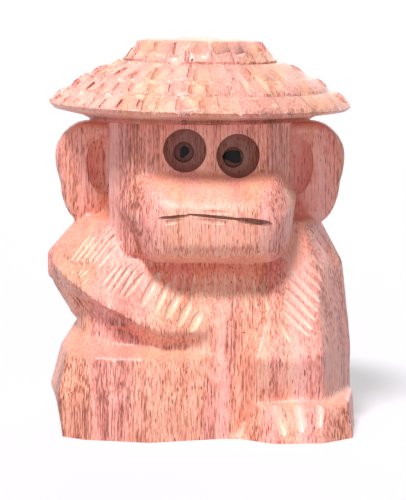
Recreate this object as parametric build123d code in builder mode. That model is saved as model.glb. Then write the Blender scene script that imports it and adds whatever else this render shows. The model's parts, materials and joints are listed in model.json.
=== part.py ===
"""Carved wooden monkey whose straw-hat lid swivels on a screw over a metal-lined bowl in the head.

Millimetres, +Z up. The origin is on the sawn base, under the middle of the hat. The monkey faces -Y.
"""

import os
from math import pi, sin

from build123d import *

# Heights: the head is sawn off level at the parting, and the upper forms hang from it
parting_height = 79.0
head_height = 35.0
nape_drop = 18.0
shoulder_drop = 26.0
elbow_drop = 38.0
elbow_half = 3.0
forearm_drop = 48.0
thigh_height = 27.0
knee_height = 20.5
shin_height = 10.0
ledge_height = 9.0

# Bowl in the head and its pressed aluminium liner
bowl_radius = 17.5
bowl_depth = 31.0
liner_wall = 0.5
liner_flange = 2.5
liner_foot_radius = 4.0
liner_clearance = 0.1

# Head, a block round the bowl with both cheeks chamfered and a round nape
face_depth = 27.0
face_wall = 5.9
head_side_wall = 2.9
cheek_chamfer_width = 5.7
cheek_chamfer_depth = 9.0
nape_roundness = 25.0
head_base_rise = 1.5

# Pivot screw and washer behind the bowl
pivot_wall = 8.9
pivot_edge = 6.5
screw_radius = 1.75
screw_bite = 16.0
screw_tip_gap = 1.0
screw_taper = 3.0
screw_head_radius = 3.4
screw_head_rise = 2.2
screw_slot_width = 0.9
screw_slot_depth = 1.0
washer_radius = 4.0
washer_wall = 0.8
washer_seat_rise = 6.75
running_clearance = 0.06
recess_clearance = 0.3

# Trunk, as half widths and reaches to the front and back from the seat up to the nape
seat_half_width = 34.5
seat_front = 39.5
seat_back = 38.0
belly_half_width = 32.3
belly_front = 33.5
belly_back = 38.0
chest_half_width = 31.0
chest_front = 25.0
chest_back = 37.0
shoulder_half_width = 28.5
shoulder_front = 17.0
shoulder_back = 35.0
nape_inset = 0.5
nape_front = 12.0
trunk_corner = 17.0

# Muzzle, in slices that reach forward from the face, with heights above the jaw
muzzle_root_inset = 10.0
muzzle_root_rise = 27.0
cheek_root_rise = 16.0
muzzle_bridge_inset = 0.6
muzzle_bridge_rise = 22.8
cheek_bridge_rise = 14.0
lip_reach = 6.0
lip_rise = 18.8
cheek_lip_rise = 11.5
chin_reach = 9.3
chin_rise = 16.0
chin_lift = 1.8
cheek_chin_rise = 10.0
tip_reach = 11.0
tip_rise = 13.8
tip_lift = 5.0
cheek_tip_rise = 9.5
muzzle_corner = 4.0

# Eyes, drilled dishes with a dab of black paint in each, hung from the parting
eye_radius = 5.6
eye_dish_depth = 2.4
eye_dish_curve = 4.5
eye_lip = 0.3
pupil_hole_radius = 2.5
pupil_hole_depth = 1.2
pupil_radius = 1.7
pupil_rise = 0.6
pupil_edge = 0.45
left_eye_x = -3.8
left_eye_drop = 6.9
right_eye_x = 9.7
right_eye_drop = 8.2

# Mouth, one slit bent where it is highest, above the jaw
mouth_left_x = -10.0
mouth_left_rise = 12.2
mouth_bend_x = -2.5
mouth_bend_rise = 13.4
mouth_right_x = 17.6
mouth_right_rise = 10.5
mouth_gape = 0.9
mouth_depth = 3.0

# Ears, flaps with a gouged hollow, hung from the parting
ear_span = 14.6
ear_root = 4.0
ear_brow_round = 9.0
ear_lobe_round = 12.0
ear_top_gap = 1.0
ear_widest_drop = 10.0
ear_bottom_drop = 28.0
ear_front = 9.0
ear_thickness = 12.0
ear_edge = 2.5
ear_hollow_rim = 9.1
ear_hollow_drop = 15.3
ear_hollow_radius = 6.8
ear_hollow_length = 10.0
ear_hollow_lift = 1.5

# Hat, a crown over three rolled straw courses, measured inwards and upwards from the rim
brim_overhang = 1.9
brim_undercut = 11.5
parting_gap = 0.25
rim_rise = 3.15
rim_bevel = 1.2
rim_course_width = 5.8
rim_course_rise = 3.8
middle_course_width = 5.2
middle_course_rise = 3.6
upper_course_width = 8.8
upper_course_rise = 3.8
crown_flare = 2.7
crown_side_rise = 5.0
crown_dome_rise = 1.4
course_roll = 1.2

# Straws, flat chisel cuts down each course and round the crown, each a little out of step by hand
straw_lean = 9.0
straw_dip = 3.0
straw_lift = 0.65
straw_chip = 4.0
straw_stray = 0.13
straw_unevenness = 0.2
stray_turn = 2.4
uneven_turn = 1.7
crown_straws = 20
upper_straws = 32
middle_straws = 40
rim_straws = 46
crown_nicks = 20
nick_inset = 3.6
nick_drop = 2.6
nick_lift = -0.5

# Places that follow from the sizes above
jaw_height = parting_height - head_height
nape_height = parting_height - nape_drop
shoulder_height = parting_height - shoulder_drop
elbow_height = parting_height - elbow_drop
forearm_height = parting_height - forearm_drop
bore_radius = bowl_radius + liner_wall
bore_wall = bore_radius + liner_clearance
recess_radius = bore_wall + liner_flange
bowl_centre_y = bore_wall + face_wall - face_depth
pivot_y = bowl_centre_y + recess_radius + pivot_wall
nape_depth = pivot_y + pivot_edge
head_half_width = recess_radius + head_side_wall
face_half_width = head_half_width - cheek_chamfer_width
ear_reach = head_half_width + ear_span
hat_radius = ear_reach + brim_overhang
hat_seat_height = parting_height + parting_gap
bowl_axis = Axis((0, bowl_centre_y, 0), (0, 0, 1))
bowl_plane = Plane.XZ.offset(-bowl_centre_y)
pivot_axis = Axis((0, pivot_y, 0), (0, 0, 1))
pivot_plane = Plane.XZ.offset(-pivot_y)
os.makedirs("parts", exist_ok=True)


def slab(plane, points):
    """A face with straight sides through the given points of a plane."""
    with BuildSketch(plane) as face:
        with BuildLine():
            Polyline(*points, close=True)
        make_face()
    return face.sketch


def limb(*sections):
    """A limb with flat chisel facets, running through the given outlines."""
    with BuildPart() as form:
        loft(sections=sections, ruled=True)
    return form.part


def trunk():
    """Seat, belly, chest, shoulders and nape in one swelling form."""
    sections = (
        (0, seat_half_width, seat_front, seat_back),
        (knee_height, belly_half_width, belly_front, belly_back),
        (jaw_height, chest_half_width, chest_front, chest_back),
        (shoulder_height, shoulder_half_width, shoulder_front, shoulder_back),
        (nape_height, head_half_width - nape_inset, nape_front, nape_depth),
    )
    with BuildPart() as form:
        for height, half_width, front, back in sections:
            with BuildSketch(Plane.XY.offset(height)):
                with Locations((0, (back - front) / 2)):
                    RectangleRounded(2 * half_width, front + back, trunk_corner)
        loft()
    return form.part


def head():
    """Upright block with chamfered cheeks and a round nape, flat on top where it was sawn."""
    cheek_y = cheek_chamfer_depth - face_depth
    nape_start = nape_depth - nape_roundness
    with BuildPart() as form:
        with BuildSketch(Plane.XY.offset(jaw_height + head_base_rise)):
            with BuildLine():
                Polyline(
                    (-head_half_width, nape_start),
                    (-head_half_width, cheek_y),
                    (-face_half_width, -face_depth),
                    (face_half_width, -face_depth),
                    (head_half_width, cheek_y),
                    (head_half_width, nape_start),
                )
                ThreePointArc((head_half_width, nape_start), (0, nape_depth), (-head_half_width, nape_start))
            make_face()
        extrude(amount=head_height - head_base_rise)
    return form.part


def muzzle_slice(reach, top, cheek, bottom):
    """One slice of the muzzle, facing forwards. Each level is its rise above the jaw, left side and right side."""
    with BuildSketch(Plane.XZ.offset(face_depth + reach)) as face:
        with BuildLine():
            FilletPolyline(
                (top[1], jaw_height + top[0]),
                (top[2], jaw_height + top[0]),
                (cheek[2], jaw_height + cheek[0]),
                (bottom[2], jaw_height + bottom[0]),
                (bottom[1], jaw_height + bottom[0]),
                (cheek[1], jaw_height + cheek[0]),
                radius=muzzle_corner,
                close=True,
            )
        make_face()
    return face.sketch


def muzzle():
    """Cheeks, lips and chin, narrowing forwards and leaning a little to the monkey's left."""
    return limb(
        muzzle_slice(
            -muzzle_root_inset, (muzzle_root_rise, -17, 19), (cheek_root_rise, -23.8, 25.3), (0, -17.5, 23)
        ),
        muzzle_slice(-muzzle_bridge_inset, (muzzle_bridge_rise, -16.5, 20), (cheek_bridge_rise, -20.8, 24), (0, -15, 22)),
        muzzle_slice(lip_reach, (lip_rise, -13, 18), (cheek_lip_rise, -16.5, 21.8), (0, -13, 20)),
        muzzle_slice(chin_reach, (chin_rise, -10.5, 16), (cheek_chin_rise, -12.8, 19), (chin_lift, -10.5, 17.5)),
        muzzle_slice(tip_reach, (tip_rise, -7, 13.5), (cheek_tip_rise, -8.6, 15.8), (tip_lift, -7, 14.3)),
    )


def ear(side):
    """One flap standing out from the head, with a rounded edge and a gouged hollow. Side is -1 or 1."""
    top = parting_height - ear_top_gap
    bottom = parting_height - ear_bottom_drop
    root = side * (head_half_width - ear_root)
    brow = (side * (ear_reach - ear_brow_round), top)
    widest = (side * ear_reach, parting_height - ear_widest_drop)
    lobe = (side * (ear_reach - ear_lobe_round), bottom)
    hollow_x = side * (ear_reach - ear_hollow_rim)
    hollow_z = parting_height - ear_hollow_drop
    half_length = ear_hollow_length / 2
    with BuildPart() as form:
        with BuildSketch(Plane.XZ.offset(ear_front)):
            with BuildLine():
                Line((root, top), brow)
                TangentArc(widest, brow, tangent=(0, 1))
                TangentArc(widest, lobe, tangent=(0, -1))
                Polyline(lobe, (root, bottom), (root, top))
            make_face()
        extrude(amount=-ear_thickness)
        fillet(form.edges().filter_by(GeomType.CIRCLE), ear_edge)
        with Locations((hollow_x, -ear_front - ear_hollow_lift, hollow_z)):
            Cylinder(ear_hollow_radius, ear_hollow_length, mode=Mode.SUBTRACT)
            with Locations((0, 0, half_length), (0, 0, -half_length)):
                Sphere(ear_hollow_radius, mode=Mode.SUBTRACT)
    return form.part


def eye_cutter(x, z):
    """A dish with a smaller flat hole at its middle, drilled straight into the face."""
    dish_floor = eye_dish_depth - face_depth
    hole_floor = dish_floor + pupil_hole_depth
    with BuildPart() as form:
        with BuildSketch(Plane.XY.offset(z)):
            with BuildLine():
                Polyline(
                    (x, hole_floor),
                    (x, -face_depth - eye_radius),
                    (x + eye_radius, -face_depth - eye_radius),
                    (x + eye_radius, -face_depth - eye_lip),
                )
                RadiusArc((x + eye_radius, -face_depth - eye_lip), (x + pupil_hole_radius, dish_floor), -eye_dish_curve)
                Polyline(
                    (x + pupil_hole_radius, dish_floor),
                    (x + pupil_hole_radius, hole_floor),
                    (x, hole_floor),
                )
            make_face()
        revolve(axis=Axis((x, 0, z), (0, 1, 0)))
    return form.part


def mouth_cutter():
    """A thin slit, widest at its bend and running out at both corners."""
    left = (mouth_left_x, jaw_height + mouth_left_rise)
    right = (mouth_right_x, jaw_height + mouth_right_rise)
    bend_z = jaw_height + mouth_bend_rise
    with BuildPart() as form:
        with BuildSketch(Plane.XZ.offset(face_depth + tip_reach - mouth_depth)):
            with BuildLine():
                Polyline(
                    left,
                    (mouth_bend_x, bend_z + mouth_gape / 2),
                    right,
                    (mouth_bend_x, bend_z - mouth_gape / 2),
                    close=True,
                )
            make_face()
        extrude(amount=2 * mouth_depth)
    return form.part


def bowl_cutter():
    """The turned bowl in the head: a round-footed bore with a shallow ledge for the liner's flange."""
    floor = parting_height - bowl_depth - liner_wall
    ledge = parting_height - liner_wall
    with BuildPart() as form:
        with BuildSketch(bowl_plane):
            with BuildLine():
                FilletPolyline((0, floor), (bore_wall, floor), (bore_wall, ledge), radius=liner_foot_radius)
                Polyline(
                    (bore_wall, ledge),
                    (recess_radius, ledge),
                    (recess_radius, parting_height),
                    (0, parting_height),
                    (0, floor),
                )
            make_face()
        revolve(axis=bowl_axis)
    return form.part


def across(x):
    """An upright plane across the body, measured forwards and back, and up and down from the elbow."""
    return Plane(origin=(x, 0, elbow_height), x_dir=(0, 1, 0), z_dir=(1, 0, 0))


# The carved block: trunk, head, muzzle, ears, arms, legs and one foot, all of one piece of wood
upper_arm = limb(
    slab(Plane.XY.offset(shoulder_height), [(-20, -19), (-28, -14), (-32, -4), (-26, 17), (-12, 12)]),
    slab(
        Plane.XY.offset(elbow_height + elbow_half),
        [(-20, -25), (-33, -21), (-40.2, -9.5), (-31, 19), (-12, 17)],
    ),
    slab(
        Plane.XY.offset(elbow_height - elbow_half),
        [(-20, -26), (-33, -23), (-40.2, -10.5), (-31, 19), (-12, 18)],
    ),
    slab(Plane.XY.offset(forearm_height), [(-20, -24), (-28, -20), (-33.4, -9), (-30, 18), (-12, 18)]),
)
forearm = limb(
    slab(across(2), [(-28, -4), (-35, -14), (-32, -20), (-12, -13)]),
    slab(across(-10), [(-26, 4), (-38.5, -14), (-32, -21), (-8, -11)]),
    slab(across(-23), [(-20, 10), (-36.5, -8.5), (-25, -19), (2, -9)]),
    slab(across(-33), [(-6, 9), (-27.5, -2.5), (-17, -13), (6, -3)]),
    slab(across(-38.5), [(-10, 5), (-17.5, 1), (-12, -5), (-6, 0)]),
)
straight_arm = limb(
    slab(
        Plane.XY.offset(shoulder_height),
        [(17, -18), (20, -19.5), (27, -15), (31.4, -4), (26, 17), (12, 12)],
    ),
    slab(Plane.XY.offset(elbow_height), [(16, -24), (20, -28), (30, -25), (37.8, -6), (31, 20), (12, 18)]),
    slab(Plane.XY.offset(knee_height), [(9, -32), (14, -40), (31, -39), (39.6, -14), (32, 24), (10, 22)]),
    slab(Plane.XY.offset(ledge_height), [(9, -34), (14, -38.5), (32, -37.5), (39.6, -13), (32, 24), (10, 22)]),
    slab(Plane.XY, [(9, -34), (14, -38.5), (32, -37.5), (39.8, -12), (32, 24), (10, 22)]),
)
drawn_up_leg = limb(
    slab(
        Plane.XY,
        [(-36.4, -14), (-35, -36.5), (-28.5, -40.5), (-12.5, -44), (10, -38), (6, 0), (-32, 24)],
    ),
    slab(
        Plane.XY.offset(shin_height),
        [(-39.2, -15), (-36, -36), (-28.8, -40), (-12.5, -42.8), (11, -35.5), (6, 0), (-32, 24)],
    ),
    slab(
        Plane.XY.offset(knee_height),
        [(-36.4, -14), (-34, -32), (-27, -37), (-14, -39.5), (10, -33), (4, 0), (-31, 24)],
    ),
    slab(
        Plane.XY.offset(thigh_height),
        [(-32, -9), (-29.5, -18), (-27, -24), (-16, -24), (0, -22), (0, 0), (-30, 10)],
    ),
)
foot = limb(
    slab(Plane.XY, [(11, -40), (18.5, -45.5), (31, -44.5), (38.8, -38), (40.4, -18), (36, -4), (11, -4)]),
    slab(
        Plane.XY.offset(ledge_height),
        [(14, -39), (18.5, -41.5), (31, -41), (37.8, -35), (39.8, -18), (36, -4), (11, -4)],
    ),
)
left_eye_z = parting_height - left_eye_drop
right_eye_z = parting_height - right_eye_drop
with BuildPart() as body_block:
    for form in (trunk(), head(), muzzle(), ear(-1), ear(1), upper_arm, forearm, straight_arm, drawn_up_leg, foot):
        add(form)
    add(eye_cutter(left_eye_x, left_eye_z), mode=Mode.SUBTRACT)
    add(eye_cutter(right_eye_x, right_eye_z), mode=Mode.SUBTRACT)
    add(mouth_cutter(), mode=Mode.SUBTRACT)
    add(bowl_cutter(), mode=Mode.SUBTRACT)
    with Locations((0, pivot_y, parting_height)):
        Hole(screw_radius, depth=screw_bite)
body_block.part.label = "body_block"
export_step(body_block.part, "parts/body_block.step")

# Bowl liner: a cup pressed from aluminium sheet, hung by its flange in the head
liner_floor = parting_height - bowl_depth
flange_radius = bore_radius + liner_flange
flange_bottom = parting_height - liner_wall
with BuildPart() as bowl_liner:
    with BuildSketch(bowl_plane):
        with BuildLine():
            FilletPolyline(
                (0, liner_floor - liner_wall),
                (bore_radius, liner_floor - liner_wall),
                (bore_radius, flange_bottom),
                radius=liner_foot_radius,
            )
            Polyline(
                (bore_radius, flange_bottom),
                (flange_radius, flange_bottom),
                (flange_radius, parting_height),
                (bowl_radius, parting_height),
            )
            FilletPolyline(
                (bowl_radius, parting_height),
                (bowl_radius, liner_floor),
                (0, liner_floor),
                radius=liner_foot_radius - liner_wall,
            )
            Line((0, liner_floor), (0, liner_floor - liner_wall))
        make_face()
    revolve(axis=bowl_axis)
bowl_liner.part.label = "bowl_liner"
export_step(bowl_liner.part, "parts/bowl_liner.step")


def pupil(x, z):
    """A dab of black paint, flat behind and rounded in front, on the floor of an eye."""
    floor = face_depth - eye_dish_depth - pupil_hole_depth
    with BuildPart() as form:
        with BuildSketch(Plane.XZ.offset(floor)):
            with Locations((x, z)):
                Circle(pupil_radius)
        extrude(amount=pupil_rise)
        fillet(form.faces().sort_by(Axis.Y)[0].edges(), pupil_edge)
    return form.part


for name, x, z in (("left_pupil", left_eye_x, left_eye_z), ("right_pupil", right_eye_x, right_eye_z)):
    dab = pupil(x, z)
    dab.label = name
    export_step(dab, f"parts/{name}.step")


def dome_radius(reach, rise):
    """Radius of the ball whose cap has the given reach and rise."""
    return (reach**2 + rise**2) / (2 * rise)


def straw_cut(inner, outer, count, lift):
    """What one chisel cut takes off a course: a wedge over a flat that leans to one side and dips outwards."""
    run = Vector(outer[0] - inner[0], 0, outer[1] - inner[1])
    outward = Vector(-run.Z, 0, run.X).normalized()
    start = Vector(inner[0], 0, inner[1]) + outward * lift
    flat = Plane(start, x_dir=run, z_dir=outward).rotated((straw_lean, straw_dip, 0))
    inner_half = inner[0] * pi / count
    outer_half = outer[0] * pi / count
    with BuildPart() as form:
        with BuildSketch(flat):
            with BuildLine():
                Polyline(
                    (0, -inner_half),
                    (run.length, -outer_half),
                    (run.length, outer_half),
                    (0, inner_half),
                    close=True,
                )
            make_face()
        extrude(amount=straw_chip)
    return form.part


def straw_ring(inner, outer, count, lift):
    """Chisel cuts all round one course, uneven in depth and spacing."""
    cuts = []
    for step in range(count):
        uneven = lift + straw_unevenness * sin(uneven_turn * step)
        stray = straw_stray * sin(stray_turn * step)
        cuts.append(Rot(0, 0, 360 * (step + stray) / count) * straw_cut(inner, outer, count, uneven))
    return cuts


# Hat lid: turned profile of crown and straw courses, chiselled all round, with a bore and recess for the pivot
rim = (hat_radius, hat_seat_height + rim_rise)
lower_notch = (rim[0] - rim_course_width, rim[1] + rim_course_rise)
upper_notch = (lower_notch[0] - middle_course_width, lower_notch[1] + middle_course_rise)
crown_foot = (upper_notch[0] - upper_course_width, upper_notch[1] + upper_course_rise)
crown_shoulder = (crown_foot[0] - crown_flare, crown_foot[1] + crown_side_rise)
crown_top = (0, crown_shoulder[1] + crown_dome_rise)
nick_top = (crown_shoulder[0] - nick_inset, crown_top[1])
nick_foot = (crown_shoulder[0], crown_shoulder[1] - nick_drop)
washer_seat = hat_seat_height + washer_seat_rise
with BuildPart() as hat_lid:
    with BuildSketch(Plane.XZ):
        with BuildLine():
            Polyline(
                crown_top,
                (0, hat_seat_height),
                (hat_radius - brim_undercut, hat_seat_height),
                (rim[0] - rim_bevel, rim[1] - rim_bevel),
                rim,
            )
            SagittaArc(rim, lower_notch, -course_roll)
            SagittaArc(lower_notch, upper_notch, -course_roll)
            SagittaArc(upper_notch, crown_foot, -course_roll)
            SagittaArc(crown_foot, crown_shoulder, -course_roll)
            RadiusArc(crown_shoulder, crown_top, -dome_radius(crown_shoulder[0], crown_dome_rise))
        make_face()
    revolve(axis=Axis.Z)
    add(straw_ring(crown_shoulder, crown_foot, crown_straws, straw_lift), mode=Mode.SUBTRACT)
    add(straw_ring(nick_top, nick_foot, crown_nicks, nick_lift), mode=Mode.SUBTRACT)
    add(straw_ring(crown_foot, upper_notch, upper_straws, straw_lift), mode=Mode.SUBTRACT)
    add(straw_ring(upper_notch, lower_notch, middle_straws, straw_lift), mode=Mode.SUBTRACT)
    add(straw_ring(lower_notch, rim, rim_straws, straw_lift), mode=Mode.SUBTRACT)
    with Locations((0, pivot_y, crown_top[1])):
        Hole(screw_radius + running_clearance)
        Hole(washer_radius + recess_clearance, depth=crown_top[1] - washer_seat)
# The lid itself, without the splinters that fall off where two cuts meet
lid = hat_lid.solids().sort_by(SortBy.VOLUME)[-1]
lid.label = "hat_lid"
export_step(lid, "parts/hat_lid.step")

# Washer: lies in the hat's recess under the screw's head
washer_bottom = washer_seat + running_clearance
with BuildPart() as pivot_washer:
    with BuildSketch(Plane.XY.offset(washer_bottom)):
        with Locations((0, pivot_y)):
            Circle(washer_radius)
            Circle(screw_radius + running_clearance, mode=Mode.SUBTRACT)
    extrude(amount=washer_wall)
pivot_washer.part.label = "pivot_washer"
export_step(pivot_washer.part, "parts/pivot_washer.step")

# Pivot screw: round slotted head on the washer, shank through the hat and into the head
head_seat = washer_bottom + washer_wall
head_top = head_seat + screw_head_rise
screw_tip = parting_height - screw_bite + screw_tip_gap
with BuildPart() as pivot_screw:
    with BuildSketch(pivot_plane):
        with BuildLine():
            Polyline(
                (0, head_top),
                (0, screw_tip),
                (screw_radius, screw_tip + screw_taper),
                (screw_radius, head_seat),
                (screw_head_radius, head_seat),
            )
            RadiusArc((screw_head_radius, head_seat), (0, head_top), -dome_radius(screw_head_radius, screw_head_rise))
        make_face()
    revolve(axis=pivot_axis)
    with Locations((0, pivot_y, head_top)):
        Box(2 * screw_head_radius, screw_slot_width, 2 * screw_slot_depth, mode=Mode.SUBTRACT)
pivot_screw.part.label = "pivot_screw"
export_step(pivot_screw.part, "parts/pivot_screw.step")
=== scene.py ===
"""Looks of a carved wooden monkey whose straw hat is a swivelling lid. Metres, +Z up, facing -Y."""

import json
import math
import random

import bpy
from mathutils import Matrix, Vector

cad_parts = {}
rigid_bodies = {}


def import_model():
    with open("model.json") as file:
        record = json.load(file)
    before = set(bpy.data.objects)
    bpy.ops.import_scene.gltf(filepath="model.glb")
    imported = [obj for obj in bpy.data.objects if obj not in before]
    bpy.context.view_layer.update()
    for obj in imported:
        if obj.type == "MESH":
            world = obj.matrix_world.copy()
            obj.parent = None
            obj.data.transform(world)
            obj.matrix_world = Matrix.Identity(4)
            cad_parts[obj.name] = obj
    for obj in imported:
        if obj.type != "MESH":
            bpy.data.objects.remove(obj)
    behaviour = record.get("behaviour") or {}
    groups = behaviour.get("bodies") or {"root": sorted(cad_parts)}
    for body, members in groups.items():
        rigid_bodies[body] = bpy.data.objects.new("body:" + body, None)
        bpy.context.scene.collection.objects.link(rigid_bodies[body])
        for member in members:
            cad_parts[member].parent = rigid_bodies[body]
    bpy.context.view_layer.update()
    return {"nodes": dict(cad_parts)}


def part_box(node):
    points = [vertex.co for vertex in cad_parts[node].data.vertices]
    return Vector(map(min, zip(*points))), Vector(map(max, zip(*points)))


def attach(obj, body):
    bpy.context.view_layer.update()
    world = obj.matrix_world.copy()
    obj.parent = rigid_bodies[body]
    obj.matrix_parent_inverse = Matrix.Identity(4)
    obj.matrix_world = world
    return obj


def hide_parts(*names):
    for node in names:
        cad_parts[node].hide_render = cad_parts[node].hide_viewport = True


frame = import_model()

# Carved block
# The seated monkey, sawn and carved from one block of straight-grained hardwood whose grain stands upright.
# Its forms are roughed out with flat chisels and rounded with a rasp. Bowl, eyes, mouth and fur are cut in.
mm = 0.001
weld = 0.001 * mm
voxel = 0.65 * mm
sanding_passes = 3
face_passes = 30
saw_allowance = 3.0 * mm
carving_waves = 0.4 * mm
wave_size = 8.0 * mm


def select_only(piece):
    """Leaves one object selected and active."""
    bpy.ops.object.select_all(action="DESELECT")
    piece.select_set(True)
    bpy.context.view_layer.objects.active = piece


def welded_copy(node, name):
    """A new object with a welded copy of a CAD node's mesh."""
    piece = bpy.data.objects.new(name, frame["nodes"][node].data.copy())
    bpy.context.scene.collection.objects.link(piece)
    piece.data.materials.clear()
    select_only(piece)
    bpy.ops.object.mode_set(mode="EDIT")
    bpy.ops.mesh.select_all(action="SELECT")
    bpy.ops.mesh.remove_doubles(threshold=weld)
    bpy.ops.object.mode_set(mode="OBJECT")
    return piece


def join(pieces):
    """Joins several objects into the first of them."""
    select_only(pieces[0])
    for piece in pieces[1:]:
        piece.select_set(True)
    if len(pieces) > 1:
        bpy.ops.object.join()
    return pieces[0]


def apply_modifier(piece, kind, **settings):
    """Adds one modifier with the given settings and applies it."""
    select_only(piece)
    modifier = piece.modifiers.new(kind.lower(), kind)
    for setting, value in settings.items():
        setattr(modifier, setting, value)
    bpy.ops.object.modifier_apply(modifier=modifier.name)


def leave_saw_allowance(piece, height, direction):
    """Draws the sawn flat at a height out by the saw allowance, so that sanding can't round its edge."""
    select_only(piece)
    bpy.ops.object.mode_set(mode="EDIT")
    bpy.ops.mesh.select_mode(type="FACE")
    bpy.ops.mesh.select_all(action="DESELECT")
    bpy.ops.object.mode_set(mode="OBJECT")
    for face in piece.data.polygons:
        face.select = abs(face.center.z - height) < 0.02 * mm and face.normal.z * direction > 0.99
    bpy.ops.object.mode_set(mode="EDIT")
    bpy.ops.mesh.extrude_region_move(TRANSFORM_OT_translate={"value": (0, 0, direction * saw_allowance)})
    bpy.ops.object.mode_set(mode="OBJECT")


def cut(piece, cutter):
    """Cuts one closed shape out of another, hands on its material and throws the cutter away."""
    apply_modifier(
        piece, "BOOLEAN", operation="DIFFERENCE", object=cutter, solver="MANIFOLD", material_mode="TRANSFER"
    )
    bpy.data.objects.remove(cutter)


def dress(piece, material):
    """Gives the whole piece one material."""
    piece.data.materials.clear()
    piece.data.materials.append(material)
    piece.data.polygons.foreach_set("material_index", [0] * len(piece.data.polygons))


def carve(piece, cutters, material):
    """Cuts a set of shapes out of the piece and gives the cut faces a material."""
    cutter = join(cutters)
    dress(cutter, material)
    cut(piece, cutter)


def waves(piece, strength, size):
    """Moves the surface in and out a little, as a hand-held chisel leaves it."""
    texture = bpy.data.textures.new("chisel_waves", "CLOUDS")
    texture.noise_scale = size
    texture.noise_depth = 1
    apply_modifier(
        piece, "DISPLACE", texture=texture, strength=strength, mid_level=0.5, texture_coords="LOCAL"
    )


def smooth_region(piece, low, high, passes):
    """Sands only the part of the surface that lies in a box."""
    group = piece.vertex_groups.new(name="sanded")
    inside = [
        vertex.index
        for vertex in piece.data.vertices
        if all(near <= place <= far for near, place, far in zip(low, vertex.co, high))
    ]
    group.add(inside, 1.0, "REPLACE")
    apply_modifier(piece, "SMOOTH", factor=0.5, iterations=passes, vertex_group=group.name)
    piece.vertex_groups.clear()


def new_material(name):
    """A node material, with its shader and its node tree."""
    material = bpy.data.materials.new(name)
    material.use_nodes = True
    tree = material.node_tree
    return material, tree, tree.nodes["Principled BSDF"]


def add_node(tree, kind, inputs=(), **settings):
    """One node with its settings, and its inputs given as values or linked to sockets."""
    node = tree.nodes.new(kind)
    for setting, value in settings.items():
        setattr(node, setting, value)
    for socket, value in dict(inputs).items():
        if isinstance(value, bpy.types.NodeSocket):
            tree.links.new(value, node.inputs[socket])
        else:
            node.inputs[socket].default_value = value
    return node


def blend_colours(tree, factor, first, second):
    """The colour socket of a mix from the first colour to the second."""
    node = add_node(tree, "ShaderNodeMix", inputs={0: factor, 6: first, 7: second}, data_type="RGBA")
    return node.outputs[2]


def ramp(tree, value, low, high, low_value=0.0, high_value=1.0):
    """A smooth step of a value between two limits."""
    inputs = {"Value": value, "From Min": low, "From Max": high, "To Min": low_value, "To Max": high_value}
    node = add_node(tree, "ShaderNodeMapRange", inputs=inputs, interpolation_type="SMOOTHSTEP")
    return node.outputs["Result"]


def weighted_sum(tree, *terms):
    """The sum of several values, each times its weight."""
    total = 0.0
    for value, weight in terms:
        inputs = {0: value, 1: weight, 2: total}
        node = add_node(tree, "ShaderNodeMath", inputs=inputs, operation="MULTIPLY_ADD")
        total = node.outputs[0]
    return total


ring_squeeze = 0.35


def grain(tree, place, squeeze, scale, detail=2.0, distortion=0.0):
    """A noise that runs long upwards and, less so, from front to back, as the growth rings do."""
    along = add_node(tree, "ShaderNodeMapping", inputs={"Vector": place, "Scale": (1, ring_squeeze, squeeze)})
    inputs = {"Vector": along.outputs[0], "Scale": scale, "Detail": detail, "Distortion": distortion}
    return add_node(tree, "ShaderNodeTexNoise", inputs=inputs).outputs["Fac"]


def vessels(tree, place, squeeze, scale, size):
    """A mask of the short pores that open vessels leave, thin across the grain and long along it."""
    along = add_node(tree, "ShaderNodeMapping", inputs={"Vector": place, "Scale": (1, 1, squeeze)})
    inputs = {"Vector": along.outputs[0], "Scale": scale}
    cells = add_node(tree, "ShaderNodeTexVoronoi", inputs=inputs, feature="F1")
    edge = weighted_sum(tree, (size, 0.75))
    limits = {"From Min": edge, "From Max": size, "To Min": 1.0, "To Max": 0.0}
    node = add_node(tree, "ShaderNodeMapRange", inputs={"Value": cells.outputs["Distance"], **limits})
    return node.outputs["Result"]


wood_tones = (
    (0.0, (0.30, 0.086, 0.062)),
    (0.25, (0.63, 0.212, 0.160)),
    (0.5, (0.88, 0.330, 0.277)),
    (0.75, (0.94, 0.430, 0.366)),
    (1.0, (0.97, 0.550, 0.484)),
)
pore_tone = (0.14, 0.036, 0.030)
ochre = (1.0, 1.06, 0.85)
wax_ior = 1.48


def product(tree, first, second):
    """Two values multiplied."""
    return add_node(tree, "ShaderNodeMath", inputs={0: first, 1: second}, operation="MULTIPLY").outputs[0]


def tinted(tone, tint, share):
    """A tone drawn towards a tint, as a colour with full cover."""
    return (*(own + (other - own) * share for own, other in zip(tone, tint)), 1)


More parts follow.
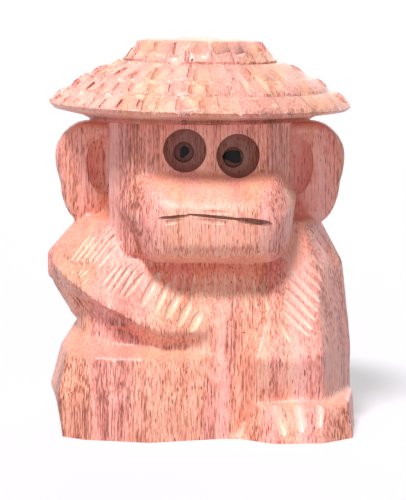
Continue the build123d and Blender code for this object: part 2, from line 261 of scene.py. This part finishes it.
def wood_material(name, tint, share, shift, roughness, shine=0.5, calm_and_highlight=0.55):
    """Waxed hardwood: upright bands, streaks, lines and dashes with two sizes of pores, calmer on end grain;
    faces that point up or down are also painted paler and more ochre as a highlight of the light from above.
    """
    material, tree, shader = new_material(name)
    spot = add_node(tree, "ShaderNodeTexCoord").outputs["Object"]
    place = add_node(tree, "ShaderNodeMapping", inputs={"Vector": spot, "Location": shift}).outputs[0]
    bands = grain(tree, place, squeeze=0.06, scale=80, distortion=0.5)
    streaks = grain(tree, place, squeeze=0.025, scale=230, detail=3.0, distortion=0.2)
    lines = grain(tree, place, squeeze=0.02, scale=2900)
    dashes = grain(tree, place, squeeze=0.12, scale=4200, detail=1.0)
    patches = grain(tree, place, squeeze=0.25, scale=210)
    warm_bands = ramp(tree, grain(tree, place, squeeze=0.10, scale=120, detail=1.0), 0.40, 0.60)
    # How far each point faces up or down: there the grain is calmer as end grain, and the wood is painted
    # paler and more ochre as a highlight.
    facing = add_node(tree, "ShaderNodeAttribute", attribute_name="end_grain_highlight").outputs["Fac"]
    end = ramp(tree, facing, 0.30, 0.85)
    calm = weighted_sum(tree, (end, -calm_and_highlight), (1.0, 1.0))
    shade = weighted_sum(tree, (bands, 0.20), (streaks, 0.24), (lines, 0.32), (dashes, 0.24))
    calmed = product(tree, ramp(tree, shade, 0.40, 0.60), calm)
    # Painted highlight: faces that point up or down are lifted towards the pale tones.
    level = weighted_sum(tree, (calmed, 1.0), (end, 0.65 * calm_and_highlight))
    palette = add_node(tree, "ShaderNodeValToRGB", inputs={0: level})
    stops = palette.color_ramp.elements
    for position, _ in wood_tones[1:-1]:
        stops.new(position)
    for stop, (_, tone) in zip(stops, wood_tones):
        stop.color = tinted(tone, tint, share)
    pore = tinted(pore_tone, tint, share)
    fine_size = ramp(tree, patches, 0.30, 0.70, 0.13, 0.23)
    fine = product(tree, vessels(tree, place, squeeze=0.16, scale=2400, size=fine_size), calm)
    coarse_size = ramp(tree, patches, 0.35, 0.65, 0.09, 0.19)
    coarse = product(tree, vessels(tree, place, squeeze=0.13, scale=950, size=coarse_size), calm)
    # The warm bands are the wood's own tone; the ochre on faces that point up or down is a painted warm
    # highlight.
    warmth = weighted_sum(tree, (warm_bands, 0.75), (end, 0.2))
    warmed = add_node(
        tree,
        "ShaderNodeMix",
        inputs={0: warmth, 6: palette.outputs["Color"], 7: (*ochre, 1)},
        data_type="RGBA",
        blend_type="MULTIPLY",
    )
    colour = blend_colours(tree, weighted_sum(tree, (fine, 0.5)), warmed.outputs[2], pore)
    colour = blend_colours(tree, weighted_sum(tree, (coarse, 0.9)), colour, pore)
    tree.links.new(colour, shader.inputs["Base Color"])
    gloss = ramp(tree, lines, 0.3, 0.7, roughness, roughness + 0.12)
    tree.links.new(gloss, shader.inputs["Roughness"])
    shader.inputs["IOR"].default_value = wax_ior
    shader.inputs["Specular IOR Level"].default_value = shine
    dents = add_node(tree, "ShaderNodeBump", inputs={"Height": fine, "Strength": 0.4, "Distance": 0.05 * mm})
    dents.invert = True
    pits = add_node(
        tree,
        "ShaderNodeBump",
        inputs={"Height": coarse, "Strength": 0.5, "Distance": 0.1 * mm, "Normal": dents.outputs[0]},
    )
    pits.invert = True
    tree.links.new(pits.outputs[0], shader.inputs["Normal"])
    return material


body_shift = (0.013, 0.027, 0.0)
# The pale tone of freshly cut wood, also used as a painted highlight on gouges, straw facets and the hat.
fresh_cut_highlight = (0.98, 0.74, 0.64)
# Dark tone of the burnt and stained eyes, also used as painted shade in the mouth slit and the hat's grooves.
dark_stain_and_shade = (0.050, 0.015, 0.011)
dull_shine = 0.25
body_wood = wood_material("body_wood", fresh_cut_highlight, 0.0, body_shift, roughness=0.36)
# Gouged faces are paler: partly fresh wood, partly a painted highlight where the light would catch them.
gouged_highlight_wood = wood_material("gouged_highlight_wood", fresh_cut_highlight, 0.46, body_shift, roughness=0.30)
stained_wood = wood_material("stained_wood", dark_stain_and_shade, 0.70, body_shift, roughness=0.40, shine=dull_shine)
burnt_wood = wood_material("burnt_wood", dark_stain_and_shade, 0.86, body_shift, roughness=0.40, shine=dull_shine)
# The mouth slit is darkened as painted shade inside the cut.
mouth_shade_wood = wood_material("mouth_shade_wood", dark_stain_and_shade, 0.62, body_shift, roughness=0.45, shine=dull_shine)


def turned(name, profile, axis, middle):
    """A closed shape turned round an axis from (radius, place along the axis) points."""
    mesh = bpy.data.meshes.new(name)
    points = [(radius, along, 0) if axis == "Y" else (radius, 0, along) for radius, along in profile]
    mesh.from_pydata(points, [(i, i + 1) for i in range(len(points) - 1)], [])
    piece = bpy.data.objects.new(name, mesh)
    bpy.context.scene.collection.objects.link(piece)
    turns = {"angle": 2 * math.pi, "steps": 96, "render_steps": 96, "use_merge_vertices": True}
    apply_modifier(piece, "SCREW", axis=axis, merge_threshold=weld, **turns)
    bpy.ops.object.mode_set(mode="EDIT")
    bpy.ops.mesh.select_all(action="SELECT")
    bpy.ops.mesh.remove_doubles(threshold=weld)
    bpy.ops.mesh.normals_make_consistent(inside=False)
    bpy.ops.object.mode_set(mode="OBJECT")
    mesh.transform(Matrix.Translation(middle))
    return piece


def rod(radius, bottom, top, middle, axis="Z"):
    """A plain round plug or drill between two places along an axis."""
    return turned("rod", [(0, bottom), (radius, bottom), (radius, top), (0, top)], axis, middle)


def saw_flat(piece, height, direction, material):
    """Saws the piece off at a height, keeping what lies against the direction."""
    size = 0.3
    bpy.ops.mesh.primitive_cube_add(size=size, location=(0, 0, height + direction * size / 2))
    carve(piece, [bpy.context.object], material)


def scoop(centre, along, outward, length, width, height):
    """A stretched ball whose axes lie along a stroke, across it and out of the wood."""
    along = along.normalized()
    across = outward.cross(along).normalized()
    outward = along.cross(across)
    bpy.ops.mesh.primitive_uv_sphere_add(segments=24, ring_count=14, radius=1)
    cutter = bpy.context.object
    axes = Matrix((across * width / 2, outward * height / 2, along * length / 2)).transposed().to_4x4()
    cutter.data.transform(Matrix.Translation(centre) @ axes)
    return cutter


sight = 0.2
front_view = Vector((0, 1, 0))
back_view = Vector((0, -1, 0))
left_view = Vector((1, 0, 0))
right_view = Vector((-1, 0, 0))


def touch(piece, place, view):
    """Where a line of sight meets the piece, and which way the wood faces there."""
    sideways = Vector((abs(view.y), abs(view.x), 0))
    origin = sideways * place[0] * mm + Vector((0, 0, place[1] * mm)) - view * sight
    found, spot, normal, _ = piece.ray_cast(origin, view)
    if not found:
        raise ValueError(f"no wood is seen at {place}")
    return spot, normal


def gouge(piece, start, end, width, depth, view):
    """A cutter for one gouge stroke between two places of a view in millimetres, deepest at its middle."""
    middle = ((start[0] + end[0]) / 2, (start[1] + end[1]) / 2)
    first, first_normal = touch(piece, start, view)
    last, last_normal = touch(piece, end, view)
    bed, bed_normal = touch(piece, middle, view)
    outward = (first_normal + 2 * bed_normal + last_normal).normalized()
    radius = (width**2 / 4 + depth**2) / (2 * depth)
    length = (last - first).length / math.sqrt(1 - (1 - depth / radius) ** 2)
    centre = bed + outward * (radius - depth)
    return scoop(centre, last - first, outward, length, 2 * radius, 2 * radius)


def gouge_row(piece, first, last, count, width, depth, view=front_view, stray=0.35, material=gouged_highlight_wood):
    """Cuts a row of gouge strokes that pass from the place of the first stroke to that of the last."""
    chance = random.Random(str((first, last)))
    cutters = []
    for step in range(count):
        share = step / max(count - 1, 1)
        ends = [
            [near + (far - near) * share + chance.uniform(-stray, stray) for near, far in zip(*places)]
            for places in zip(first, last)
        ]
        scale = chance.uniform(0.8, 1.15)
        cutters.append(gouge(piece, *ends, width * scale * mm, depth * scale * mm, view))
    for turn in range(2):
        if cutters[turn::2]:
            carve(piece, cutters[turn::2], material)


def crease(piece, places, width, depth):
    """Cuts one thin line of gouge strokes along several places of the front view."""
    for start, end in zip(places, places[1:]):
        gouge_row(piece, (start, end), (start, end), 1, width, depth, stray=0.0, material=body_wood)


base_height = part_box("body_block")[0].z
parting_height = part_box("body_block")[1].z
bowl_middle = sum(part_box("bowl_liner"), Vector()) / 2
bowl_middle.z = 0
liner_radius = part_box("bowl_liner")[1].x
pivot_middle = sum(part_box("pivot_washer"), Vector()) / 2
pivot_middle.z = 0
eye_radius = 5.6 * mm
eye_margin = 0.3 * mm
face_y = -27.0 * mm
plug_back_y = -18 * mm
eyes = [sum(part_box(node), Vector()) / 2 for node in ("left_pupil", "right_pupil")]

body = welded_copy("body_block", "carved_body")
leave_saw_allowance(body, base_height, -1)
leave_saw_allowance(body, parting_height, 1)
plugs = [
    rod(eye_radius + eye_margin, face_y, plug_back_y, Vector((eye.x, 0, eye.z)), "Y") for eye in eyes
]
upright = Vector((0, 0, 1))
ear_fill = Vector((30.5, -6.5, 63.5)) * mm
ear_fill_length = 25 * mm
ear_fill_width = 13 * mm
ear_fill_thickness = 6.0 * mm
for side in (-1, 1):
    middle = Vector((side * ear_fill.x, ear_fill.y, ear_fill.z))
    plugs.append(scoop(middle, upright, back_view, ear_fill_length, ear_fill_width, ear_fill_thickness))
join([body, *plugs])
apply_modifier(body, "REMESH", mode="VOXEL", voxel_size=voxel)
apply_modifier(body, "SMOOTH", factor=0.5, iterations=sanding_passes)
muzzle_top = (Vector((-24, -45, 57)) * mm, Vector((26, -20, 70)) * mm)
lap = (Vector((-14, -50, 17)) * mm, Vector((9, -12, 29)) * mm)
right_shin = (Vector((22, -50, 3)) * mm, Vector((37, -4, 42)) * mm)
for low, high in (muzzle_top, lap, right_shin):
    smooth_region(body, low, high, face_passes)
waves(body, carving_waves, wave_size)
dress(body, body_wood)
saw_flat(body, base_height, -1, body_wood)
saw_flat(body, parting_height, 1, body_wood)

bore_radius = 18.12 * mm
bore_depth = 20 * mm
flange_gap = 0.12 * mm
flange_depth = 0.5 * mm
pilot_radius = 1.85 * mm
pilot_depth = 17.5 * mm
bores = (
    (bore_radius, bore_depth, bowl_middle),
    (liner_radius + flange_gap, flange_depth, bowl_middle),
    (pilot_radius, pilot_depth, pivot_middle),
)
drill_top = parting_height + 5 * mm
for radius, depth, middle in bores:
    carve(body, [rod(radius, parting_height - depth, drill_top, middle)], body_wood)

dish_curve = ((0, 2.5), (1.8, 2.4), (3.3, 2.0), (4.5, 1.5), (5.2, 0.8), (5.6, -0.2), (5.75, -9), (0, -9))
hole_curve = ((0, 3.7), (1.5, 3.6), (2.4, 3.1), (2.8, 1.5), (3.0, -9), (0, -9))
dish_profile = [(radius * mm, depth * mm) for radius, depth in dish_curve]
hole_profile = [(radius * mm, depth * mm) for radius, depth in hole_curve]
hole_offsets = (Vector((-0.3, 0, -0.6)) * mm, Vector((-1.1, 0, -0.6)) * mm)
for eye, hole_offset in zip(eyes, hole_offsets):
    eye_middle = Vector((eye.x, face_y, eye.z))
    carve(body, [turned("eye_dish", dish_profile, "Y", eye_middle)], stained_wood)
    carve(body, [turned("eye_hole", hole_profile, "Y", eye_middle + hole_offset)], burnt_wood)

ear_hollow = Vector((25.0, -10.0, 66.5)) * mm
ear_hollow_length = 17.5 * mm
ear_hollow_width = 9.6 * mm
ear_hollow_depth = 9.0 * mm
ear_lean = 0.12
for side in (-1, 1):
    middle = Vector((side * ear_hollow.x, ear_hollow.y, ear_hollow.z))
    along = Vector((side * ear_lean, 0, 1))
    hollow = scoop(middle, along, back_view, ear_hollow_length, ear_hollow_width, ear_hollow_depth)
    carve(body, [hollow], body_wood)

upper_lip = ((-0.6, 57.7), (8.0, 57.2))
lower_lip_left = ((-10.0, 54.7), (-2.3, 55.6))
lower_lip_right = ((-1.3, 55.6), (8.0, 54.7))
for lip in (upper_lip, lower_lip_left, lower_lip_right):
    crease(body, lip, width=1.6, depth=0.3)
# The slit's cuts take the darker mouth wood, which is painted shade.
mouth_strokes = (
    ((-11.8, 55.8), (-0.4, 56.9), 1.0, 0.7),
    ((-3.0, 57.0), (11.8, 55.6), 0.85, 0.6),
    ((7.0, 56.0), (19.7, 54.3), 1.4, 0.8),
)
for start, end, gape, depth in mouth_strokes:
    gouge_row(body, (start, end), (start, end), 1, gape, depth, stray=0.0, material=mouth_shade_wood)

forearm_hollow = ((-36, 35.5), (-11, 25.6))
left_shoulder_fur = (((-26.5, 52.5), (-34, 41.5)), ((-20.5, 48), (-29.5, 38.5)))
left_arm_fur = (((-20.5, 43.8), (-25.8, 37)), ((-14.5, 41), (-18.8, 35)))
left_wrist_fur = (((-10.2, 40.9), (-15, 33.2)), ((0.5, 32.3), (-2.5, 26.5)))
left_elbow_fur = (((-35, 35.6), (-30.6, 29)), ((-24.3, 33), (-20.9, 26)))
gouge_row(
    body, forearm_hollow, forearm_hollow, count=1, width=8.0, depth=2.2, stray=0.0, material=body_wood
)
gouge_row(body, *left_shoulder_fur, count=6, width=1.2, depth=0.3)
gouge_row(body, *left_arm_fur, count=5, width=1.5, depth=0.6)
gouge_row(body, *left_wrist_fur, count=5, width=2.4, depth=0.8)
gouge_row(body, *left_elbow_fur, count=7, width=1.2, depth=0.4, material=body_wood)

right_arm_fur = (((25, 48.5), (33.4, 39.5)), ((20.2, 32.6), (27.7, 25.4)))
right_shoulder_fur = (((27.5, 52.2), (34.6, 42)), ((30, 51.5), (35.8, 43)))
right_wrist_stroke = ((19.7, 29.7), (23.1, 24.6))
gouge_row(body, *right_arm_fur, count=8, width=1.9, depth=0.85)
gouge_row(body, *right_shoulder_fur, count=2, width=1.5, depth=0.45, material=body_wood)
gouge_row(body, right_wrist_stroke, right_wrist_stroke, count=1, width=1.7, depth=0.6)

belly_fur = (((-6, 41), (-7.6, 34.5)), ((16, 40.2), (17.4, 31.5)))
throat_fur = (((-9.5, 47.2), (-8.8, 44.9)), ((15.5, 47.2), (15.8, 44.9)))
toes = (((17.4, 12), (21.7, 0.8)), ((30, 12), (30, 2)))
arm_edge = ((23.7, 50.1), (21.9, 43.1), (20.3, 36.9), (16.1, 29.8), (13.8, 23.9), (13, 15), (11, 5))
belly_fold = ((5.9, 28.7), (10, 26.6), (13.5, 25.4))
gouge_row(body, *belly_fur, count=10, width=1.2, depth=0.55)
gouge_row(body, *throat_fur, count=11, width=1.6, depth=0.25, stray=0.25, material=body_wood)
gouge_row(body, *toes, count=3, width=3.2, depth=0.9, stray=0.2)
crease(body, arm_edge, width=1.6, depth=0.35)
crease(body, belly_fold, width=0.5, depth=0.2)

right_side_fur = (((-9, 50), (-11, 38)), ((14, 48), (14, 36)))
left_side_fur = (((-6, 50), (-7, 40)), ((16, 48), (14, 36)))
upper_back_fur = (((-19, 58), (-20, 47)), ((19, 58), (20, 47)))
middle_back_fur = (((-22, 47), (-23, 34)), ((22, 47), (23, 34)))
lower_back_fur = (((-21, 34), (-22, 20)), ((21, 34), (22, 20)))
gouge_row(body, *right_side_fur, count=7, width=2.6, depth=0.5, view=right_view, material=body_wood)
gouge_row(body, *left_side_fur, count=6, width=2.6, depth=0.5, view=left_view, material=body_wood)
for fur, count in ((upper_back_fur, 8), (middle_back_fur, 9), (lower_back_fur, 8)):
    gouge_row(body, *fur, count=count, width=5.0, depth=0.45, view=back_view, material=body_wood)


def drop_splinters(piece):
    """Keeps what hangs together with the lowest point, and drops the splinters that the cuts leave."""
    heights = [vertex.co.z for vertex in piece.data.vertices]
    lowest = heights.index(min(heights))
    select_only(piece)
    bpy.ops.object.mode_set(mode="EDIT")
    bpy.ops.mesh.select_mode(type="VERT")
    bpy.ops.mesh.select_all(action="DESELECT")
    bpy.ops.object.mode_set(mode="OBJECT")
    piece.data.vertices[lowest].select = True
    bpy.ops.object.mode_set(mode="EDIT")
    bpy.ops.mesh.select_linked()
    bpy.ops.mesh.select_all(action="INVERT")
    bpy.ops.mesh.delete(type="VERT")
    bpy.ops.object.mode_set(mode="OBJECT")


def mark_end_grain(piece):
    """Stores for each point how far the wood faces up or down, where its end grain shows and where the wood
    is painted paler as a highlight of the light from above.
    """
    attribute = piece.data.attributes.new("end_grain_highlight", "FLOAT", "POINT")
    attribute.data.foreach_set("value", [abs(vertex.normal.z) for vertex in piece.data.vertices])


drop_splinters(body)
mark_end_grain(body)
select_only(body)
block_edge_angle = math.radians(26)
bpy.ops.object.shade_smooth_by_angle(angle=block_edge_angle)
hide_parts("body_block")
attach(body, "block")

# Pupils
# A dab of black paint in the bottom of each burnt eye, the left one small and upright, the right one wider.
# It is brushed on by hand, so its edge is uneven, and it dries to a thin rounded film on the wood.
paint_film = 0.18 * mm


def paint_dab(name, middle, width, height, wobble):
    """An uneven dab of paint that follows the floor of the eye."""
    bpy.ops.mesh.primitive_uv_sphere_add(segments=48, ring_count=24, radius=1, rotation=(math.pi / 2, 0, 0))
    bpy.ops.object.transform_apply(rotation=True)
    dab = bpy.context.object
    dab.name = name
    for vertex in dab.data.vertices:
        angle = math.atan2(vertex.co.z, vertex.co.x)
        edge = 1 + 0.16 * math.sin(2 * angle + wobble) + 0.12 * math.sin(3 * angle + 2.3 * wobble)
        edge += 0.06 * math.sin(5 * angle + wobble * wobble)
        x = middle.x + vertex.co.x * edge * width / 2
        z = middle.z + vertex.co.z * edge * height / 2
        bed = touch(body, (x / mm, z / mm), front_view)[0].y
        vertex.co = (x, bed + vertex.co.y * paint_film, z)
    return dab


black_paint, _, paint_shader = new_material("black_paint")
paint_shader.inputs["Base Color"].default_value = (0.010, 0.008, 0.009, 1)
paint_shader.inputs["Roughness"].default_value = 0.45
paint_shader.inputs["Specular IOR Level"].default_value = 0.15
dabs = (
    ("left_paint", "left_pupil", eyes[0], Vector((-0.2, 0, -0.6)) * mm, 2.1 * mm, 3.3 * mm, 0.7),
    ("right_paint", "right_pupil", eyes[1], Vector((-1.3, 0, -0.5)) * mm, 4.2 * mm, 3.7 * mm, 2.1),
)
for name, node, eye, offset, width, height, wobble in dabs:
    dab = paint_dab(name, eye + offset, width, height, wobble)
    dress(dab, black_paint)
    select_only(dab)
    bpy.ops.object.shade_smooth()
    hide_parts(node)
    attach(dab, "block")

# Bowl liner
# A cup pressed from thin aluminium sheet, with a plain flange and a slightly uneven, satin face.
# It hangs by its flange in the bowl bored into the head, and keeps embers off the wood.
aluminium, liner_tree, liner_shader = new_material("pressed_aluminium")
liner_shader.inputs["Base Color"].default_value = (0.77, 0.78, 0.79, 1)
liner_shader.inputs["Metallic"].default_value = 1.0
liner_place = add_node(liner_tree, "ShaderNodeTexCoord").outputs["Object"]
liner_marks = grain(liner_tree, liner_place, 9.0, 300)
liner_tree.links.new(ramp(liner_tree, liner_marks, 0.3, 0.7, 0.30, 0.46), liner_shader.inputs["Roughness"])
dress(frame["nodes"]["bowl_liner"], aluminium)

# Hat lid
# A separate disc of the same wood, turned to a crown over three rolled courses and chiselled like straw.
# Its underside is widened to meet the square head, and it swivels on a screw in a bore at its back.
hat_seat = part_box("hat_lid")[0].z
hat_tilt = 0.020
tilt_rise = 3.0 * mm
seat_drop = 0.20 * mm
seat_half_width = 28.5 * mm
seat_reach = 34.5 * mm
hat = welded_copy("hat_lid", "straw_hat")
for vertex in hat.data.vertices:
    if vertex.co.z < hat_seat + 0.01 * mm:
        vertex.co.z -= seat_drop
        radius = vertex.co.xy.length
        if radius > 0.99 * seat_half_width:
            sideways = max(abs(vertex.co.x), 0.1 * mm)
            stretch = min(seat_reach / radius, seat_half_width / sideways)
            vertex.co.x *= stretch
            vertex.co.y *= stretch
    vertex.co.z -= hat_tilt * vertex.co.x * min(1.0, max(0.0, vertex.co.z - hat_seat) / tilt_rise)
hat_shift = (0.051, 0.004, 0.02)
# Strength of the calmer end grain and of the painted highlight on faces that point up or down.
hat_calm_and_highlight = 0.4
# The hat is drawn a little towards the pale tone: partly paler wood, partly a painted highlight of the light
# from above.
hat_wood = wood_material("hat_wood", fresh_cut_highlight, 0.16, hat_shift, roughness=0.32, calm_and_highlight=hat_calm_and_highlight)
# The grooves between straws are darkened a little as painted shade.
groove_shade_wood = wood_material("groove_shade_wood", dark_stain_and_shade, 0.10, hat_shift, roughness=0.36, calm_and_highlight=hat_calm_and_highlight)
# Straw facets and strokes are paler: partly fresh wood, partly painted glints.
straw_highlight_wood = wood_material("straw_highlight_wood", fresh_cut_highlight, 0.42, hat_shift, roughness=0.28, calm_and_highlight=hat_calm_and_highlight)
dress(hat, hat_wood)

rim = (40.0, 82.4)
lower_notch = (34.2, 86.2)
upper_notch = (29.0, 89.8)
crown_foot = (20.2, 93.6)
crown_shoulder = (16.3, 98.7)
crown_wall_foot = (19.3, 93.7)
crown_straws = 20
upper_straws = 32
middle_straws = 40
rim_straws = 46
hat_chance = random.Random(7)


def straw_gouges(inner, outer, count):
    """Cuts a groove on either side of each straw of a course, darkened as painted shade, and a facet into
    some of the ends, paler as fresh wood and as a painted highlight.
    """
    start = Vector((inner[0], 0, inner[1])) * mm
    run = Vector((outer[0], 0, outer[1])) * mm - start
    outward = Vector((-run.z, 0, run.x)).normalized()
    pitch = 2 * math.pi * outer[0] * mm / count
    grooves = []
    facets = []
    for step in range(count):
        width = hat_chance.uniform(0.9, 1.5) * mm
        lift = hat_chance.uniform(0.15, 0.5) * mm + width / 2
        place = start + run * hat_chance.uniform(0.45, 0.6) + outward * lift
        groove = scoop(place, run, outward, run.length * hat_chance.uniform(1.1, 1.5), width, width)
        angle = 2 * math.pi * (step + 0.5 + hat_chance.uniform(-0.10, 0.10)) / count
        groove.data.transform(Matrix.Rotation(angle, 4, "Z"))
        grooves.append(groove)
        if hat_chance.random() < 0.8:
            width = pitch * hat_chance.uniform(0.55, 0.75)
            place = start + run * hat_chance.uniform(0.55, 0.8) + outward * (0.3 * mm + width / 2)
            length = run.length * hat_chance.uniform(0.8, 1.2)
            facet = scoop(place, run, outward, length, width * 1.6, width)
            angle = 2 * math.pi * (step + hat_chance.uniform(-0.12, 0.12)) / count
            facet.data.transform(Matrix.Rotation(angle, 4, "Z"))
            facets.append(facet)
    # Painted shade in the grooves between straws.
    carve(hat, grooves, groove_shade_wood)
    carve(hat, facets[0::2], straw_highlight_wood)
    carve(hat, facets[1::2], straw_highlight_wood)


def chips(inner, outer, count, share):
    """Cuts a row of short chips into the upper half of a course, one over each straw."""
    start = Vector((inner[0], 0, inner[1])) * mm
    run = Vector((outer[0], 0, outer[1])) * mm - start
    outward = Vector((-run.z, 0, run.x)).normalized()
    pitch = 2 * math.pi * (start + run * share).x / count
    for turn in range(2):
        cutters = []
        for step in range(turn, count, 2):
            width = pitch * hat_chance.uniform(0.6, 0.8)
            lift = 0.25 * mm + width / 2
            place = start + run * (share + hat_chance.uniform(-0.05, 0.05)) + outward * lift
            length = run.length * hat_chance.uniform(0.5, 0.65)
            chip = scoop(place, run, outward, length, width * 1.6, width)
            angle = 2 * math.pi * (step + 0.5 + hat_chance.uniform(-0.12, 0.12)) / count
            chip.data.transform(Matrix.Rotation(angle, 4, "Z"))
            cutters.append(chip)
        # Painted glints: every other chip takes the paler straw wood.
        carve(hat, cutters, straw_highlight_wood if turn else hat_wood)


crown_slope = [
    (14.2, 101.0),
    (15.6, 99.9),
    (17.0, 98.6),
    (18.3, 96.7),
    (19.9, 94.3),
    (24.0, 94.5),
    (24.0, 101.0),
    (14.2, 101.0),
]
slope_profile = [(radius * mm, height * mm) for radius, height in crown_slope]
slope_cutter = turned("crown_slope", slope_profile, "Z", Vector())
slope_cutter.data.transform(Matrix(((1, 0, 0, 0), (0, 1, 0, 0), (-hat_tilt, 0, 1, 0), (0, 0, 0, 1))))
carve(hat, [slope_cutter], hat_wood)

crown_edge = Vector((16.2, 0, 98.2)) * mm
crown_chip_lift = Vector((1.6, 0, 1.3)) * mm
crown_outward = Vector((0.8, 0, 0.5))
for turn in range(2):
    facets = []
    for step in range(turn, crown_straws, 2):
        lean = hat_chance.uniform(-0.3, 0.3)
        along = Vector((0.5, math.sin(lean), -math.cos(lean)))
        size = hat_chance.uniform(4.2, 5.0) * mm
        facet = scoop(crown_edge + crown_chip_lift, along, crown_outward, 2 * size, 1.3 * size, size)
        angle = 2 * math.pi * (step + hat_chance.uniform(-0.06, 0.06)) / crown_straws
        facet.data.transform(Matrix.Rotation(angle, 4, "Z"))
        facets.append(facet)
    # Painted glints: every other crown facet takes the paler straw wood.
    carve(hat, facets, straw_highlight_wood if turn else hat_wood)
straw_gouges(crown_shoulder, crown_wall_foot, crown_straws)
chips(crown_shoulder, crown_wall_foot, crown_straws, share=0.2)
straw_gouges(crown_foot, upper_notch, upper_straws)
straw_gouges(upper_notch, lower_notch, middle_straws)
straw_gouges(lower_notch, rim, rim_straws)
chips(crown_foot, upper_notch, upper_straws, share=0.27)
chips(upper_notch, lower_notch, middle_straws, share=0.22)
chips(lower_notch, rim, rim_straws, share=0.22)

brim_inner = Vector((21.0, 0, 93.4)) * mm
brim_outer = Vector((39.8, 0, 83.0)) * mm
brim_run = brim_outer - brim_inner
brim_outward = Vector((-brim_run.z, 0, brim_run.x)).normalized()
stroke_middle = brim_inner + brim_run * 0.56 + brim_outward * 1.9 * mm
stroke_length = 26 * mm
stroke_width = 3.0 * mm
stroke_height = 3.4 * mm
stroke_count = 5
first_stroke = -68
stroke_step = 9.5
strokes = []
for step in range(stroke_count):
    stroke = scoop(stroke_middle, brim_run, brim_outward, stroke_length, stroke_width, stroke_height)
    stroke.data.transform(Matrix.Rotation(math.radians(first_stroke + stroke_step * step), 4, "Z"))
    strokes.append(stroke)
carve(hat, strokes, straw_highlight_wood)
drop_splinters(hat)
mark_end_grain(hat)
select_only(hat)
hat_edge_angle = math.radians(24)
bpy.ops.object.shade_smooth_by_angle(angle=hat_edge_angle)
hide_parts("hat_lid")
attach(hat, "hat")

# Pivot screw and washer
# A round-headed slotted wood screw of zinc-plated steel over a plain washer, both sunk in the hat's recess.
# The screw is driven through the hat into the back of the head, and the hat turns on it.
steel, _, steel_shader = new_material("zinc_steel")
steel_shader.inputs["Base Color"].default_value = (0.62, 0.61, 0.59, 1)
steel_shader.inputs["Metallic"].default_value = 1.0
steel_shader.inputs["Roughness"].default_value = 0.34
for node in ("pivot_screw", "pivot_washer"):
    dress(frame["nodes"][node], steel)

# Studio
# A pale paper floor that runs back past the picture under a white sky, and the camera at the photo's angle.
# The light is broad and soft: the main lamp high on the left, a weak one in front and a weak one behind.
bpy.ops.object.select_all(action="DESELECT")
bpy.ops.mesh.primitive_plane_add(size=30, location=(0, 10, 0))
floor = bpy.context.object
floor.name = "studio_floor"
floor_material, floor_tree, floor_shader = new_material("floor_paper")
floor_shader.inputs["Roughness"].default_value = 0.9
white = (1, 1, 1, 1)


def seen_directly(tree):
    """1 for rays of the camera, of reflections and of clear materials, and 0 for rays that carry light."""
    rays = add_node(tree, "ShaderNodeLightPath").outputs
    inputs = {0: rays["Is Camera Ray"], 1: rays["Is Glossy Ray"]}
    seen = add_node(tree, "ShaderNodeMath", inputs=inputs, operation="ADD")
    inputs = {0: seen.outputs[0], 1: rays["Is Transmission Ray"]}
    return add_node(tree, "ShaderNodeMath", inputs=inputs, operation="ADD", use_clamp=True).outputs[0]


floor_seen = seen_directly(floor_tree)
floor_lit = (0.50, 0.48, 0.52, 1)
floor_shown = (0.88, 0.85, 0.95, 1)
floor_colour = blend_colours(floor_tree, floor_seen, floor_lit, floor_shown)
floor_tree.links.new(floor_colour, floor_shader.inputs["Base Color"])
floor_glow = add_node(floor_tree, "ShaderNodeEmission", inputs={"Color": white, "Strength": 1.0})
floor_share = weighted_sum(floor_tree, (floor_seen, 0.5))
floor_mix = add_node(
    floor_tree,
    "ShaderNodeMixShader",
    inputs={0: floor_share, 1: floor_shader.outputs[0], 2: floor_glow.outputs[0]},
)
floor_tree.links.new(floor_mix.outputs[0], floor_tree.nodes["Material Output"].inputs["Surface"])
floor.data.materials.append(floor_material)

world = bpy.data.worlds.new("studio_world")
bpy.context.scene.world = world
world.use_nodes = True
sky_tree = world.node_tree
sky = sky_tree.nodes["Background"]
sky.inputs["Color"].default_value = white
sky_levels = {"To Min": 0.14, "To Max": 1.0}
sky_strength = add_node(
    sky_tree, "ShaderNodeMapRange", inputs={"Value": seen_directly(sky_tree), **sky_levels}
)
sky_tree.links.new(sky_strength.outputs["Result"], sky.inputs["Strength"])


def soft_sun(name, strength, spread, toward, colour):
    """A broad soft light from far away, shining along a direction."""
    light = bpy.data.lights.new(name, "SUN")
    light.energy = strength
    light.color = colour
    light.angle = math.radians(spread)
    lamp = bpy.data.objects.new(name, light)
    lamp.rotation_euler = Vector(toward).to_track_quat("-Z", "Y").to_euler()
    bpy.context.scene.collection.objects.link(lamp)


warm_white = (1.0, 0.98, 0.97)
cool_white = (1.0, 0.95, 1.0)
soft_sun("key_light", strength=3.3, spread=14, toward=(0.20, 0.44, -0.88), colour=warm_white)
soft_sun("front_light", strength=0.68, spread=50, toward=(0.12, 1.0, -0.20), colour=cool_white)
soft_sun("back_light", strength=0.8, spread=50, toward=(-0.20, -1.0, -0.12), colour=warm_white)

camera_data = bpy.data.cameras.new("photo_camera")
camera_data.lens = 162.8
camera_data.sensor_width = 36.0
camera_data.clip_start = 0.01
camera_data.clip_end = 60.0
camera = bpy.data.objects.new("photo_camera", camera_data)
camera.location = (0.8 * mm, -600 * mm, 120 * mm)
look_down = 7.3
camera.rotation_euler = (math.radians(90 - look_down), 0, 0)
bpy.context.scene.collection.objects.link(camera)
bpy.context.scene.camera = camera
bpy.context.scene.view_settings.view_transform = "Standard"
